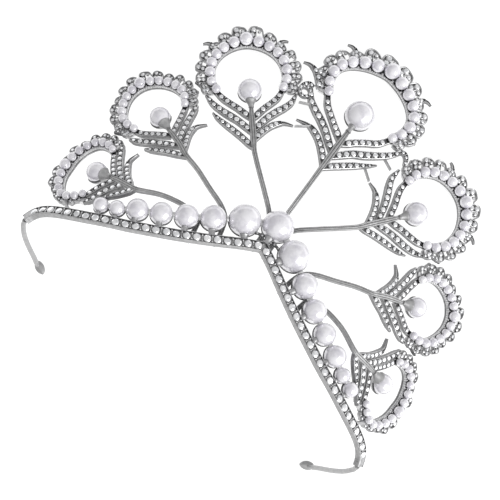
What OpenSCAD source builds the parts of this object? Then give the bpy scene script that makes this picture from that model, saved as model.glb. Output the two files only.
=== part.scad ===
// Pearl tiara: seven feathers on a peaked band, lying on its back on a table.
// Millimetres. Modelled upright (X right, Y up the tiara, Z out of its face),
// then laid down by place(): +Z is up, the feather tips point to +Y.

/* [Plan of the band] */
// Radius of the wide front arc
front_r = 145; // [135:1:160]
// Half angle of the front arc
front_a = 16; // [15:0.5:17]
// Radius of the two side arcs
side_r = 42; // [39:1:46]

/* [Band] */
// Height of the band
band_h = 3.2; // [2.8:0.1:3.4]
// Thickness of the band
band_t = 2.2; // [2:0.1:2.4]
// Depth of the channel that holds the stones
channel_d = 0.7; // [0.4:0.1:0.9]

/* [Feathers] */
// Thickness of the flat feather heads
plate_t = 1.6; // [1.4:0.1:1.8]
// Half width of a stem
stem_w = 0.65; // [0.5:0.05:0.7]
// Half thickness of a stem
stem_t = 0.6; // [0.5:0.05:0.65]
// Depth of the grooves in the barbs
groove_d = 0.5; // [0.3:0.05:0.7]

/* [Side wires] */
// Diameter of the side wires
wire_d = 1.6; // [1.4:0.1:1.8]
// Length of the leaf terminals
leaf_l = 4.6; // [4:0.2:5.2]
// Thickness of the leaf terminals
leaf_t = 1.2; // [1:0.1:1.4]

/* [Pearls] */
// Gap between a pearl and its seat
seat_gap = 0.06; // [0.04:0.01:0.08]

/* [Hidden] */
$fn = 48;
// Rest on the table: turn about X, then shift
rest_tilt = 26;
rest_y = -10.65;
rest_z = 35.86;

// Base pearls, middle to end: along the band, height, diameter
BASE = [
    [0, 7.8, 10], [9.2, 3.1, 10], [17.2, -2.3, 8], [24.0, -6.6, 7.5],
    [30.7, -10.2, 7], [37.3, -13.2, 7], [42.6, -16.2, 5], [47.5, -17.7, 5]
];
base_out = 0.4;

// Middle line of the band: along the band, height
BAND = [
    [0, -0.6], [2, -1.7], [6, -3.9], [12, -7.5], [18, -10.8], [24, -13.8], [30, -16.5],
    [36, -19.0], [42, -21.1], [48, -23.0], [53, -24.2], [58, -25.1],
    [62, -25.8], [65.5, -26.8], [68, -28.4], [69.4, -30.4]
];

// Side wire, band end to leaf: right, up, out of the face
WIRE = [
    [63.05, -30.6, -22.4], [62.9, -31.2, -24.6], [62.1, -31.5, -27.6], [61.0, -31.5, -31.5],
    [59.5, -31.2, -36.0], [57.7, -30.7, -41.0], [56.0, -30.0, -46.0], [54.8, -29.4, -50.5], [53.9, -29.1, -52.9]
];
// Leaf terminal, flat on the table: middle, and the way it points
leaf_at = [53.0, -60.2];
leaf_turn = 117;

// Feather sizes, middle to side (rows 0 to 3):
// along the band, height, turn to the side, lean, drop pearl, barb width scale, barb length scale, out
HEAD = [
    [0.0, 55.0, 0, 0, 9.5, 1.00, 1.00, 0],
    [32.3, 40.9, 13, 37, 7.6, 0.80, 0.86, 0],
    [50.7, 18.2, 30, 59, 6.6, 0.68, 0.74, -0.8],
    [57.2, -7.4, 41, 96, 6.6, 0.72, 0.70, -1.6]
];

// Eye pearls of each row, eye end to outer middle: across, along
RING = [
    [[12.4, 0.0], [14.0, 2.9], [14.9, 6.6], [14.1, 10.4], [11.8, 13.4], [8.6, 15.8], [4.7, 17.6], [0, 18.9]],
    [[10.5, 0.4], [11.8, 3.2], [12.1, 6.6], [11.4, 10.0], [9.7, 13.0], [7.2, 15.4], [3.9, 17.2], [0, 18.2]],
    [[8.8, 0.0], [9.9, 2.6], [10.2, 5.6], [9.4, 8.5], [7.8, 11.1], [5.7, 13.2], [3.2, 14.7], [0, 15.6]],
    [[9.2, -0.7], [10.5, 1.6], [11.1, 4.3], [10.5, 7.0], [8.75, 9.1], [6.3, 10.7], [3.4, 11.7], [0, 12.1]]
];
// Their diameters
SMALL = [
    [3.1, 3.4, 3.8, 3.7, 3.7, 4.0, 4.3, 5.3],
    [2.9, 3.1, 3.4, 3.4, 3.3, 3.4, 3.6, 4.3],
    [2.6, 2.8, 2.9, 2.9, 2.9, 2.8, 2.9, 3.6],
    [2.4, 2.6, 2.7, 2.6, 2.6, 2.8, 2.9, 3.6]
];

// Barbs of each row on the side towards the middle, then on the far side:
// low, mid and inner barb, each from the stem outwards (across, along)
BARBS = [
    [[[[0, -21.8], [2.3, -18.6], [5.4, -15.6], [8.2, -13.9], [11.2, -13.2], [15.2, -14.0]],
      [[0, -16.4], [2.8, -13.9], [5.6, -11.5], [8.8, -9.3], [12.2, -7.5], [15.2, -5.4], [17.2, -2.0]],
      [[0, -11.6], [2.2, -9.7], [4.3, -8.2], [6.9, -6.2], [9.9, -3.7]]],
     [[[0, -22.4], [2.8, -19.4], [4.9, -17.6], [7.5, -15.3], [10.3, -13.1], [13.5, -10.2]],
      [[0, -17.8], [2.8, -14.6], [5.2, -12.2], [8.2, -10.2], [11.4, -7.8], [14.6, -5.0], [17.9, -0.9]],
      [[0, -12.2], [2.1, -10.2], [3.9, -8.4], [6.5, -6.3], [9.8, -3.8]]]],
    [[[[0, -17.8], [2.2, -15.3], [4.3, -13.6], [6.6, -12.3], [9.6, -11.8], [12.6, -12.8]],
      [[0, -14.2], [2.4, -11.9], [4.6, -9.9], [7.7, -7.8], [10.4, -6.3], [12.8, -4.4], [14.6, -1.2]],
      [[0, -10.2], [2.0, -8.2], [4.3, -6.1], [6.3, -4.6], [8.6, -2.6]]],
     [[[0, -20.2], [1.3, -19.0], [3.5, -16.4], [6.0, -13.8], [8.5, -11.4], [10.8, -9.0], [12.0, -7.2]],
      [[0, -15.2], [2.2, -12.6], [4.4, -10.4], [6.8, -8.5], [9.2, -6.6], [11.8, -4.0], [13.7, -0.8]],
      [[0, -9.9], [2.0, -8.0], [4.2, -5.9], [6.2, -4.3], [8.6, -2.2]]]],
    [[[[1.0, -16.2], [2.6, -13.8], [4.2, -11.8], [6.0, -10.2], [8.3, -9.5], [11.4, -10.6]],
      [[0.8, -12.4], [2.8, -10.0], [5.0, -7.7], [7.6, -5.5], [10.2, -3.4], [12.0, -1.8]],
      [[0, -8.6], [2.4, -6.3], [4.3, -4.6], [6.0, -3.0], [7.4, -1.6]]],
     [[[-0.8, -18.4], [1.8, -15.4], [4.0, -12.9], [6.0, -11.1], [8.0, -9.4], [9.2, -8.3]],
      [[-0.6, -13.6], [1.8, -11.1], [3.9, -9.2], [6.2, -7.2], [8.8, -5.2], [10.6, -3.4], [11.6, -1.9]],
      [[0, -8.4], [1.6, -6.9], [3.5, -5.3], [5.6, -3.7], [7.4, -2.2]]]],
    [[[[-2.7, -14.6], [-0.8, -12.9], [1.4, -10.8], [4.2, -9.0], [7.0, -8.2], [10.0, -9.6]],
      [[-1.8, -10.8], [0.4, -8.8], [2.8, -6.9], [6.2, -4.8], [9.6, -3.2], [12.4, -2.2]],
      [[-0.8, -7.4], [1.0, -5.8], [3.6, -3.9], [6.6, -2.2]]],
     [[[2.9, -16.2], [4.4, -14.6], [5.9, -12.1], [7.4, -9.4], [8.8, -7.0]],
      [[1.9, -11.8], [3.2, -10.2], [5.0, -7.7], [7.4, -5.6], [9.8, -3.8], [11.6, -1.8]],
      [[0.9, -7.8], [2.2, -6.3], [4.2, -4.3], [6.8, -2.4]]]]
];
// Widths of the low, mid and inner barbs along their length (0 to 1)
WIDTH = [
    [[0, 1.6], [0.2, 2.3], [0.6, 2.2], [0.8, 1.4], [1, 0.5]],
    [[0, 1.6], [0.17, 2.4], [0.5, 2.7], [0.8, 2.2], [1, 0.9]],
    [[0, 1.6], [0.25, 2.3], [1, 2.2]]
];
// How far the stem stands off the middle line, at distances below the eye
SPINE = [
    [[0, 0], [30, 0]],
    [[0, 0], [30, 0]],
    [[3.3, -0.1], [11, -1.0], [30, -1.0]],
    [[3.3, 0.1], [7.5, 1.0], [15, 2.8], [21, 3.3]]
];
// Pointed plume beside the eye, and the hooks of the fringe: across, along, width
PLUME = [[15.2, -0.6, 1.6], [16.4, 1.0, 2.0], [18.0, 2.7, 2.0], [20.1, 4.1, 1.6], [22.3, 4.5, 1.1], [24.2, 3.9, 0.5]];
HOOK = [[0, 0, 1.8], [-0.3, 1.8, 1.9], [-0.6, 3.4, 1.5], [-0.7, 4.8, 1.1], [-0.1, 6.0, 0.8], [1.1, 6.8, 0.4]];
// Links from the middle feather to its neighbours
LINK = [[17.0, -1.4, 1.3], [18.6, -1.2, 1.5], [19.9, -2.6, 1.4], [20.4, -4.6, 1.0]];
THREAD = [[[13.5, -6.3, 0.8], [17.8, -8.5, 0.7]], [[10.6, -13.1, 0.8], [14.4, -16.2, 0.7]]];

// Stems of each row, foot to head: along the band, height, out of the face
STEM = [
    [[0, -1.9, -1.8], [0, 0.4, -2.4], [0, 3.4, -5.4], [0, 8.0, -6.0], [0, 12.6, -4.4], [0, 18, -1.8], [0, 25, -0.3]],
    [[2.3, -2.8, -1.85], [2.3, -0.2, -2.3], [2.3, 3.4, -5.2], [2.6, 8.6, -5.9], [5.0, 11.8, -3.6], [10.0, 15.6, -1.2], [15.0, 19.8, -0.2]],
    [[12.5, -8.8, -1.8], [12.7, -6.2, -2.1], [13.4, -2.2, -3.6], [14.9, 1.6, -3.4], [18.2, 3.8, -1.9], [24.2, 6.0, -0.6], [30.0, 8.4, 0.6]],
    [[19.6, -12.6, -1.8], [19.8, -10.0, -2.1], [20.3, -6.6, -3.3], [21.6, -3.4, -3.3], [26.6, -2.8, -2.5], [31.0, -4.0, -0.4], [35.0, -5.5, 0.9]]
];

// ---- plan of the band: a wide front arc and two tighter side arcs ----
arc1 = front_r * front_a * PI / 180;
function ang(s) = let(q = abs(s)) sign(s) * (q < arc1 ? q / front_r * 180 / PI
    : front_a + (q - arc1) / side_r * 180 / PI);
function plan_x(s) = let(q = abs(s), t = abs(ang(s))) sign(s) * (q < arc1 ? front_r * sin(t)
    : front_r * sin(front_a) + side_r * (sin(t) - sin(front_a)));
function plan_z(s) = let(q = abs(s), t = abs(ang(s))) q < arc1 ? front_r * (cos(t) - 1)
    : front_r * (cos(front_a) - 1) + side_r * (cos(t) - cos(front_a));
function out(s) = [sin(ang(s)), 0, cos(ang(s))];
function on(s, y, w) = [plan_x(s), y, plan_z(s)] + w * out(s);

function unit(v) = v / norm(v);
function ahead(p, i) = unit(p[min(i + 1, len(p) - 1)] - p[max(i - 1, 0)]);

// One swept solid: path points, an outward direction at each, a section of
// [side, out] points, and [side, out] scales of the section at each point
module swept(path, outs, section, scales) {
    n = len(path);
    m = len(section);
    pts = [for (i = [0 : n - 1]) let(t = ahead(path, i), b = unit(cross(outs[i], t)), o = cross(t, b))
        for (q = section) path[i] + scales[i][0] * q[0] * b + scales[i][1] * q[1] * o];
    side = [for (i = [0 : n - 2]) for (j = [0 : m - 1]) let(k = (j + 1) % m)
        each [[i * m + j, (i + 1) * m + k, i * m + k], [i * m + j, (i + 1) * m + j, (i + 1) * m + k]]];
    polyhedron(points = pts, faces = concat(side,
        [[for (j = [0 : m - 1]) j]],
        [[for (j = [m - 1 : -1 : 0]) (n - 1) * m + j]]));
}

// A flat bar of changing width along 2D points [across, along, width]
function side2(p, i) = let(a = p[max(i - 1, 0)], b = p[min(i + 1, len(p) - 1)],
    t = unit([b[0] - a[0], b[1] - a[1]])) [-t[1], t[0]];
module bar(p) {
    polygon(concat(
        [for (i = [0 : len(p) - 1]) [p[i][0], p[i][1]] + p[i][2] / 2 * side2(p, i)],
        [for (i = [len(p) - 1 : -1 : 0]) [p[i][0], p[i][1]] - p[i][2] / 2 * side2(p, i)]));
}
// Barb j of row r on side k, its widths scaled by c
function barb(r, k, j, c) = let(p = BARBS[r][k > 0 ? 1 : 0][j], n = len(p))
    [for (i = [0 : n - 1]) [k * p[i][0], p[i][1], c * lookup(i / (n - 1), WIDTH[j])]];
function narrowed(p, k) = [for (i = [1 : len(p) - 2]) [p[i][0], p[i][1], p[i][2] * k]];

// Lays the upright tiara down on its back
module place() {
    translate([0, rest_y, rest_z]) rotate([-rest_tilt, 0, 0]) children();
}

// Both halves of the eye row, left end to right end
function full(r) = concat([for (i = [0 : 7]) [-RING[r][i][0], RING[r][i][1], SMALL[r][i]]],
    [for (i = [6 : -1 : 0]) [RING[r][i][0], RING[r][i][1], SMALL[r][i]]]);
// Height of a small pearl's middle over the plate, from its seat
function seat_r(d) = 0.3 * d;
function rise(d) = sqrt(d * d / 4 - pow(seat_r(d), 2)) + seat_gap;

// Puts something drawn on a head's own plane (across, along, out) on the tiara
module on_head(r, m) {
    h = HEAD[r];
    mirror([m < 0 ? 1 : 0, 0, 0]) translate(on(h[0], h[1], h[7])) rotate([0, h[2], 0]) rotate([0, 0, -h[3]]) children();
}
// The same for one point on the middle line of a head
function spine(r, v) = [lookup(-v, SPINE[r]), v];
function on_line(r, v) = let(h = HEAD[r], u = spine(r, v)[0], x = u * cos(h[3]) + v * sin(h[3]), y = v * cos(h[3]) - u * sin(h[3]))
    on(h[0], h[1], h[7]) + [x * cos(h[2]), y, -x * sin(h[2])];

module frond(r, i) {
    // one short curled frond outside the eye row, between two small pearls
    p = full(r);
    a = p[i];
    b = p[i + 1];
    c = [(a[0] + b[0]) / 2, (a[1] + b[1]) / 2];
    d = unit(c - [0, RING[r][7][1] * 0.3]);
    k = sign(c[0]);
    e = [d[1], -d[0]] * k;
    big = (a[2] + b[2]) / 2;
    // shorter on the side that faces the band
    low = r == 3 && i > 8;
    l = big * (0.98 + 0.42 * max(0, d[1])) * (low ? 0.7 : 1);
    if ((i == 4 || i == 9) && !low)
        bar([for (q = HOOK) let(f = big / 3.6 * (r < 2 ? 1 : 0.6), v = c + (q[1] * d + q[0] * e) * f) [v[0], v[1], q[2] * big / 3.6]]);
    else
        bar([for (q = [[0, 0, 0.55], [0, 0.45, 0.66], [0.12, 0.8, 0.6], [low ? 0.2 : 0.4, 1.05, 0.2]])
            let(v = c + d * l * q[1] + e * big * q[0]) [v[0], v[1], big * q[2]]]);
}

module head_outline(r) {
    h = HEAD[r];
    p = full(r);
    a = h[5];
    b = h[6];
    c = (1 + a) / 2;
    rd = h[4] / 2;
    e = RING[r][0];
    bar([for (q = p) [q[0], q[1], 2.2]]);
    for (i = [0 : 14]) translate([p[i][0], p[i][1]]) circle(r = p[i][2] * 0.44);
    for (i = [0 : 13]) frond(r, i);
    for (k = [-1, 1]) {
        bar(barb(r, k, 0, c));
        bar(barb(r, k, 1, c));
        bar(concat(barb(r, k, 2, c), [[e[0] * k, e[1], 1.8]]));
        bar([[k * e[0], e[1], 1.4], [k * (e[0] + 2.8 * c), e[1] - 0.5, 1.6]]);
        // the plume grows from the barb's end, at the eye's lower corner
        if (r == 0 && k < 0) bar([for (q = PLUME) [k * q[0], q[1], q[2]]]);
        else if (r < 3 || k < 0) bar([for (i = [0 : 2]) let(q = PLUME[i]) [k * (e[0] + (q[0] - 12.4) * c * 0.9), e[1] + q[1] * c, q[2] * c * (1 - 0.3 * i)]]);
        if (r == 0) {
            bar([for (q = LINK) [q[0] * k, q[1], q[2]]]);
            for (w = THREAD) bar([for (q = w) [q[0] * k, q[1], q[2]]]);
        }
    }
    bar([for (q = [[-25.5 * b, 1.5], [-18 * b, 2.0], [-11 * b, 2.3], [-rd - 0.4, 2.0]]) concat(spine(r, q[0]), q[1])]);
    translate([0, -rd + 0.3]) circle(r = rd * 0.62);
}

module head(r, m) {
    h = HEAD[r];
    p = full(r);
    rd = h[4] / 2;
    a = h[5];
    b = h[6];
    c = (1 + a) / 2;
    on_head(r, m) difference() {
        translate([0, 0, -plate_t / 2]) linear_extrude(plate_t) head_outline(r);
        translate([0, 0, plate_t / 2 - groove_d]) linear_extrude(2) for (k = [-1, 1]) {
            bar(narrowed(barb(r, k, 0, c), 0.55));
            bar(narrowed(barb(r, k, 1, c), 0.55));
        }
        for (q = p) translate([q[0], q[1], plate_t / 2 - 0.6]) cylinder(r = seat_r(q[2]), h = 2);
        translate([0, 0, 1]) sphere(rd + seat_gap);
    }
}

// A stem: two ribs with a groove between them
module stem(r, m) {
    p = STEM[r];
    h = HEAD[r];
    flat = [sin(h[2]), 0, cos(h[2])];
    q = concat([for (v = p) on(v[0], v[1], v[2])], [on_line(r, -24.5 * h[6]), on_line(r, -21 * h[6])]);
    mirror([m < 0 ? 1 : 0, 0, 0]) swept(q, concat([for (v = p) out(v[0])], [flat, flat]),
        [[-1, -stem_t], [1, -stem_t], [1, stem_t * 0.6], [0.55, stem_t], [0, stem_t * 0.2], [-0.55, stem_t], [-1, stem_t * 0.6]],
        [for (i = [0 : len(q) - 1]) [stem_w * (1 + 0.03 * i), 1]]);
}

module feather(r, m) color("silver") place() {
    stem(r, m);
    head(r, m);
}

// ---- band ----
function band_path() = concat([for (i = [len(BAND) - 1 : -1 : 1]) [-BAND[i][0], BAND[i][1]]], BAND);
function band_y(s) = lookup(abs(s), BAND);

// One cup on the band's top edge, along the line square to the band
module cup(i, m) {
    b = BASE[i];
    s = b[0];
    rr = b[2] / 2;
    // direction from the pearl down to the nearest point of the band's middle line
    lean = s == 0 ? 0 : atan2(band_y(s - 1) - band_y(s + 1), 2);
    drop = (b[1] - band_y(s)) * cos(lean);
    foot = drop - band_h / 2 + 0.7;
    rim = rr * 0.72;
    mirror([m < 0 ? 1 : 0, 0, 0]) translate(on(s, b[1], base_out)) rotate([0, ang(s), 0]) rotate([0, 0, -lean])
        difference() {
            rotate([90, 0, 0]) translate([0, 0, rim]) cylinder(r1 = rr * 0.66, r2 = 0.6, h = foot - rim);
            sphere(rr + seat_gap);
        }
}

module band() color("silver") place() {
    p = band_path();
    q = [for (v = p) on(v[0], v[1], 0)];
    o = [for (v = p) out(v[0])];
    h = band_h / 2;
    t = band_t / 2;
    k = 0.45;
    swept(q, o, [[-h, -t], [h, -t], [h, t], [h - k, t], [h - k, t - channel_d], [-h + k, t - channel_d], [-h + k, t], [-h, t]],
        [for (v = p) [1, 1]]);
    cup(0, 1);
    for (i = [1 : 7]) for (m = [-1, 1]) cup(i, m);
}

// ---- side wires ----
module side_wire(m) color("silver") mirror([m < 0 ? 1 : 0, 0, 0]) {
    r = wire_d / 2;
    n = len(WIRE);
    place() swept([for (i = [0 : n - 1]) i == 0 ? WIRE[0] + 0.6 * unit(WIRE[1] - WIRE[0]) : WIRE[i]],
        [for (q = WIRE) [0, 1, 0]], [for (i = [0 : 9]) [r * cos(i * 36), r * sin(i * 36)]],
        [for (i = [0 : n - 1]) i == n - 1 ? [0.9, 0.6] : [1, 1]]);
    // flat leaf, rounded at its root and pointed at its end
    translate([leaf_at[0], leaf_at[1], 0]) rotate([0, 0, leaf_turn]) linear_extrude(leaf_t)
        bar([[0, -leaf_l / 2, 1.4], [0, -leaf_l * 0.34, 2.4], [0, -leaf_l * 0.05, 2.9], [0, leaf_l * 0.25, 2.3], [0, leaf_l / 2, 0.7]]);
}

// ---- pearls ----
module base_pearl(i, m) color("white") place() translate(on(m * BASE[i][0], BASE[i][1], base_out)) sphere(d = BASE[i][2]);

module drop_pearl(r, m) color("white") place() on_head(r, m) translate([0, 0, 1]) sphere(d = HEAD[r][4]);

// The small pearls of one eye, joined by a thin strip under them
module eye_pearls(r, m) color("white") place() on_head(r, m) {
    p = full(r);
    c = [for (q = p) [q[0], q[1], plate_t / 2 + rise(q[2])]];
    // each sphere's seam is turned outwards, clear of the strip
    for (i = [0 : 14]) translate(c[i]) rotate([0, 0, atan2(p[i][1] - RING[r][7][1] * 0.3, p[i][0])]) sphere(d = p[i][2]);
    translate([0, 0, plate_t / 2 + 0.35]) linear_extrude(0.5) bar([for (q = p) [q[0], q[1], 0.7]]);
}

band();
side_wire(-1);  // side_wire_left
side_wire(1);  // side_wire_right
feather(3, -1);  // feather_1
feather(2, -1);  // feather_2
feather(1, -1);  // feather_3
feather(0, 1);  // feather_4
feather(1, 1);  // feather_5
feather(2, 1);  // feather_6
feather(3, 1);  // feather_7
base_pearl(7, -1);  // base_pearl_1
base_pearl(6, -1);  // base_pearl_2
base_pearl(5, -1);  // base_pearl_3
base_pearl(4, -1);  // base_pearl_4
base_pearl(3, -1);  // base_pearl_5
base_pearl(2, -1);  // base_pearl_6
base_pearl(1, -1);  // base_pearl_7
base_pearl(0, 1);  // base_pearl_8
base_pearl(1, 1);  // base_pearl_9
base_pearl(2, 1);  // base_pearl_10
base_pearl(3, 1);  // base_pearl_11
base_pearl(4, 1);  // base_pearl_12
base_pearl(5, 1);  // base_pearl_13
base_pearl(6, 1);  // base_pearl_14
base_pearl(7, 1);  // base_pearl_15
drop_pearl(3, -1);  // drop_pearl_1
drop_pearl(2, -1);  // drop_pearl_2
drop_pearl(1, -1);  // drop_pearl_3
drop_pearl(0, 1);  // drop_pearl_4
drop_pearl(1, 1);  // drop_pearl_5
drop_pearl(2, 1);  // drop_pearl_6
drop_pearl(3, 1);  // drop_pearl_7
eye_pearls(3, -1);  // eye_pearls_1
eye_pearls(2, -1);  // eye_pearls_2
eye_pearls(1, -1);  // eye_pearls_3
eye_pearls(0, 1);  // eye_pearls_4
eye_pearls(1, 1);  // eye_pearls_5
eye_pearls(2, 1);  // eye_pearls_6
eye_pearls(3, 1);  // eye_pearls_7
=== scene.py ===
"""Looks of the pearl tiara: detailed castings, stones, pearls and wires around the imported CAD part."""

import math

import bmesh
import bpy
import numpy as np
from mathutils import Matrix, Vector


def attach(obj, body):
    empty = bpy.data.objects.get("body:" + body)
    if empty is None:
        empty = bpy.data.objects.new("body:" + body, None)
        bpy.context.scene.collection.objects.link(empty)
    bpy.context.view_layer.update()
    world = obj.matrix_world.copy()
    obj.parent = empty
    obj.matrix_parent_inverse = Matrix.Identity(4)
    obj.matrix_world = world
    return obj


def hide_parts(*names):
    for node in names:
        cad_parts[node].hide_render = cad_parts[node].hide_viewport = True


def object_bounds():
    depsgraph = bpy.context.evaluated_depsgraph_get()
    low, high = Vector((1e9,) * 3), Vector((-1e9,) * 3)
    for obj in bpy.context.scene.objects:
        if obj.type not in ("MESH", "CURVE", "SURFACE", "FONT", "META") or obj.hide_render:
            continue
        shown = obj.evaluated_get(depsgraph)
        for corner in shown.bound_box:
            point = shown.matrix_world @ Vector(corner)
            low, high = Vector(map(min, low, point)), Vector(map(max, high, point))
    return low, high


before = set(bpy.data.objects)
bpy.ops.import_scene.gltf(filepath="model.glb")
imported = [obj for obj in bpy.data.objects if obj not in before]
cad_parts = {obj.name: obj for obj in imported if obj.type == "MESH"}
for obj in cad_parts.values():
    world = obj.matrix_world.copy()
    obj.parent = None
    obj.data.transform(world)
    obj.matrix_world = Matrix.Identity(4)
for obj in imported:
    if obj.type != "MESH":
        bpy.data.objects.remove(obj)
cad_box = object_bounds()

# ---------------------------------------------------------------- sizes, millimetres, as in part.scad
FRONT_R, FRONT_A, SIDE_R = 145.0, 16.0, 42.0
BAND_H, BAND_T = 3.2, 2.2
REST_TILT, REST_Y, REST_Z = 26.0, -10.65, 35.86
BASE_OUT = 0.4
BASE = [
    (0, 7.8, 10), (9.2, 3.1, 10), (17.2, -2.3, 8), (24.0, -6.6, 7.5),
    (30.7, -10.2, 7), (37.3, -13.2, 7), (42.6, -16.2, 5), (47.5, -17.7, 5)
]
BAND = [
    (0, -0.6), (2, -1.7), (6, -3.9), (12, -7.5), (18, -10.8), (24, -13.8), (30, -16.5),
    (36, -19.0), (42, -21.1), (48, -23.0), (53, -24.2), (58, -25.1),
    (62, -25.8), (65.5, -26.8), (68, -28.4), (69.4, -30.4),
]
WIRE = [
    (63.05, -30.6, -22.4), (62.9, -31.2, -24.6), (62.1, -31.5, -27.6), (61.0, -31.5, -31.5),
    (59.5, -31.2, -36.0), (57.7, -30.7, -41.0), (56.0, -30.0, -46.0), (54.8, -29.4, -50.5), (53.9, -29.1, -52.9),
]
LEAF_AT, LEAF_TURN, LEAF_L, LEAF_T = (53.0, -60.2), 117.0, 4.6, 1.2
HEAD = [
    (0.0, 55.0, 0, 0, 9.5, 1.00, 1.00, 0),
    (32.3, 40.9, 13, 37, 7.6, 0.80, 0.86, 0),
    (50.7, 18.2, 30, 59, 6.6, 0.68, 0.74, -0.8),
    (57.2, -7.4, 41, 96, 6.6, 0.72, 0.70, -1.6),
]
RING = [
    [(12.4, 0.0), (14.0, 2.9), (14.9, 6.6), (14.1, 10.4), (11.8, 13.4), (8.6, 15.8), (4.7, 17.6), (0, 18.9)],
    [(10.5, 0.4), (11.8, 3.2), (12.1, 6.6), (11.4, 10.0), (9.7, 13.0), (7.2, 15.4), (3.9, 17.2), (0, 18.2)],
    [(8.8, 0.0), (9.9, 2.6), (10.2, 5.6), (9.4, 8.5), (7.8, 11.1), (5.7, 13.2), (3.2, 14.7), (0, 15.6)],
    [(9.2, -0.7), (10.5, 1.6), (11.1, 4.3), (10.5, 7.0), (8.75, 9.1), (6.3, 10.7), (3.4, 11.7), (0, 12.1)],
]
SMALL = [
    [3.1, 3.4, 3.8, 3.7, 3.7, 4.0, 4.3, 5.3],
    [2.9, 3.1, 3.4, 3.4, 3.3, 3.4, 3.6, 4.3],
    [2.6, 2.8, 2.9, 2.9, 2.9, 2.8, 2.9, 3.6],
    [2.4, 2.6, 2.7, 2.6, 2.6, 2.8, 2.9, 3.6],
]
BARBS = [
    [[[(0, -21.8), (2.3, -18.6), (5.4, -15.6), (8.2, -13.9), (11.2, -13.2), (15.2, -14.0)],
      [(0, -16.4), (2.8, -13.9), (5.6, -11.5), (8.8, -9.3), (12.2, -7.5), (15.2, -5.4), (17.2, -2.0)],
      [(0, -11.6), (2.2, -9.7), (4.3, -8.2), (6.9, -6.2), (9.9, -3.7)]],
     [[(0, -22.4), (2.8, -19.4), (4.9, -17.6), (7.5, -15.3), (10.3, -13.1), (13.5, -10.2)],
      [(0, -17.8), (2.8, -14.6), (5.2, -12.2), (8.2, -10.2), (11.4, -7.8), (14.6, -5.0), (17.9, -0.9)],
      [(0, -12.2), (2.1, -10.2), (3.9, -8.4), (6.5, -6.3), (9.8, -3.8)]]],
    [[[(0, -17.8), (2.2, -15.3), (4.3, -13.6), (6.6, -12.3), (9.6, -11.8), (12.6, -12.8)],
      [(0, -14.2), (2.4, -11.9), (4.6, -9.9), (7.7, -7.8), (10.4, -6.3), (12.8, -4.4), (14.6, -1.2)],
      [(0, -10.2), (2.0, -8.2), (4.3, -6.1), (6.3, -4.6), (8.6, -2.6)]],
     [[(0, -20.2), (1.3, -19.0), (3.5, -16.4), (6.0, -13.8), (8.5, -11.4), (10.8, -9.0), (12.0, -7.2)],
      [(0, -15.2), (2.2, -12.6), (4.4, -10.4), (6.8, -8.5), (9.2, -6.6), (11.8, -4.0), (13.7, -0.8)],
      [(0, -9.9), (2.0, -8.0), (4.2, -5.9), (6.2, -4.3), (8.6, -2.2)]]],
    [[[(1.0, -16.2), (2.6, -13.8), (4.2, -11.8), (6.0, -10.2), (8.3, -9.5), (11.4, -10.6)],
      [(0.8, -12.4), (2.8, -10.0), (5.0, -7.7), (7.6, -5.5), (10.2, -3.4), (12.0, -1.8)],
      [(0, -8.6), (2.4, -6.3), (4.3, -4.6), (6.0, -3.0), (7.4, -1.6)]],
     [[(-0.8, -18.4), (1.8, -15.4), (4.0, -12.9), (6.0, -11.1), (8.0, -9.4), (9.2, -8.3)],
      [(-0.6, -13.6), (1.8, -11.1), (3.9, -9.2), (6.2, -7.2), (8.8, -5.2), (10.6, -3.4), (11.6, -1.9)],
      [(0, -8.4), (1.6, -6.9), (3.5, -5.3), (5.6, -3.7), (7.4, -2.2)]]],
    [[[(-2.7, -14.6), (-0.8, -12.9), (1.4, -10.8), (4.2, -9.0), (7.0, -8.2), (10.0, -9.6)],
      [(-1.8, -10.8), (0.4, -8.8), (2.8, -6.9), (6.2, -4.8), (9.6, -3.2), (12.4, -2.2)],
      [(-0.8, -7.4), (1.0, -5.8), (3.6, -3.9), (6.6, -2.2)]],
     [[(2.9, -16.2), (4.4, -14.6), (5.9, -12.1), (7.4, -9.4), (8.8, -7.0)],
      [(1.9, -11.8), (3.2, -10.2), (5.0, -7.7), (7.4, -5.6), (9.8, -3.8), (11.6, -1.8)],
      [(0.9, -7.8), (2.2, -6.3), (4.2, -4.3), (6.8, -2.4)]]]
]
WIDTH = [
    [(0, 1.6), (0.2, 2.3), (0.6, 2.2), (0.8, 1.4), (1, 0.5)],
    [(0, 1.6), (0.17, 2.4), (0.5, 2.7), (0.8, 2.2), (1, 0.9)],
    [(0, 1.6), (0.25, 2.3), (1, 2.2)]
]
SPINE = [
    [(0, 0), (30, 0)],
    [(0, 0), (30, 0)],
    [(3.3, -0.1), (11, -1.0), (30, -1.0)],
    [(3.3, 0.1), (7.5, 1.0), (15, 2.8), (21, 3.3)]
]
PLUME = [(15.2, -0.6, 1.6), (16.4, 1.0, 2.0), (18.0, 2.7, 2.0), (20.1, 4.1, 1.6), (22.3, 4.5, 1.1), (24.2, 3.9, 0.5)]
LINK = [(17.0, -1.4, 1.3), (18.6, -1.2, 1.5), (19.9, -2.6, 1.4), (20.4, -4.6, 1.0)]
THREAD = [[(13.5, -6.3, 0.8), (17.8, -8.5, 0.7)], [(10.6, -13.1, 0.8), (14.4, -16.2, 0.7)]]
HOOK = [(0, 0, 1.8), (-0.3, 1.8, 1.9), (-0.6, 3.4, 1.5), (-0.7, 4.8, 1.1), (-0.1, 6.0, 0.8), (1.1, 6.8, 0.4)]
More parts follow.
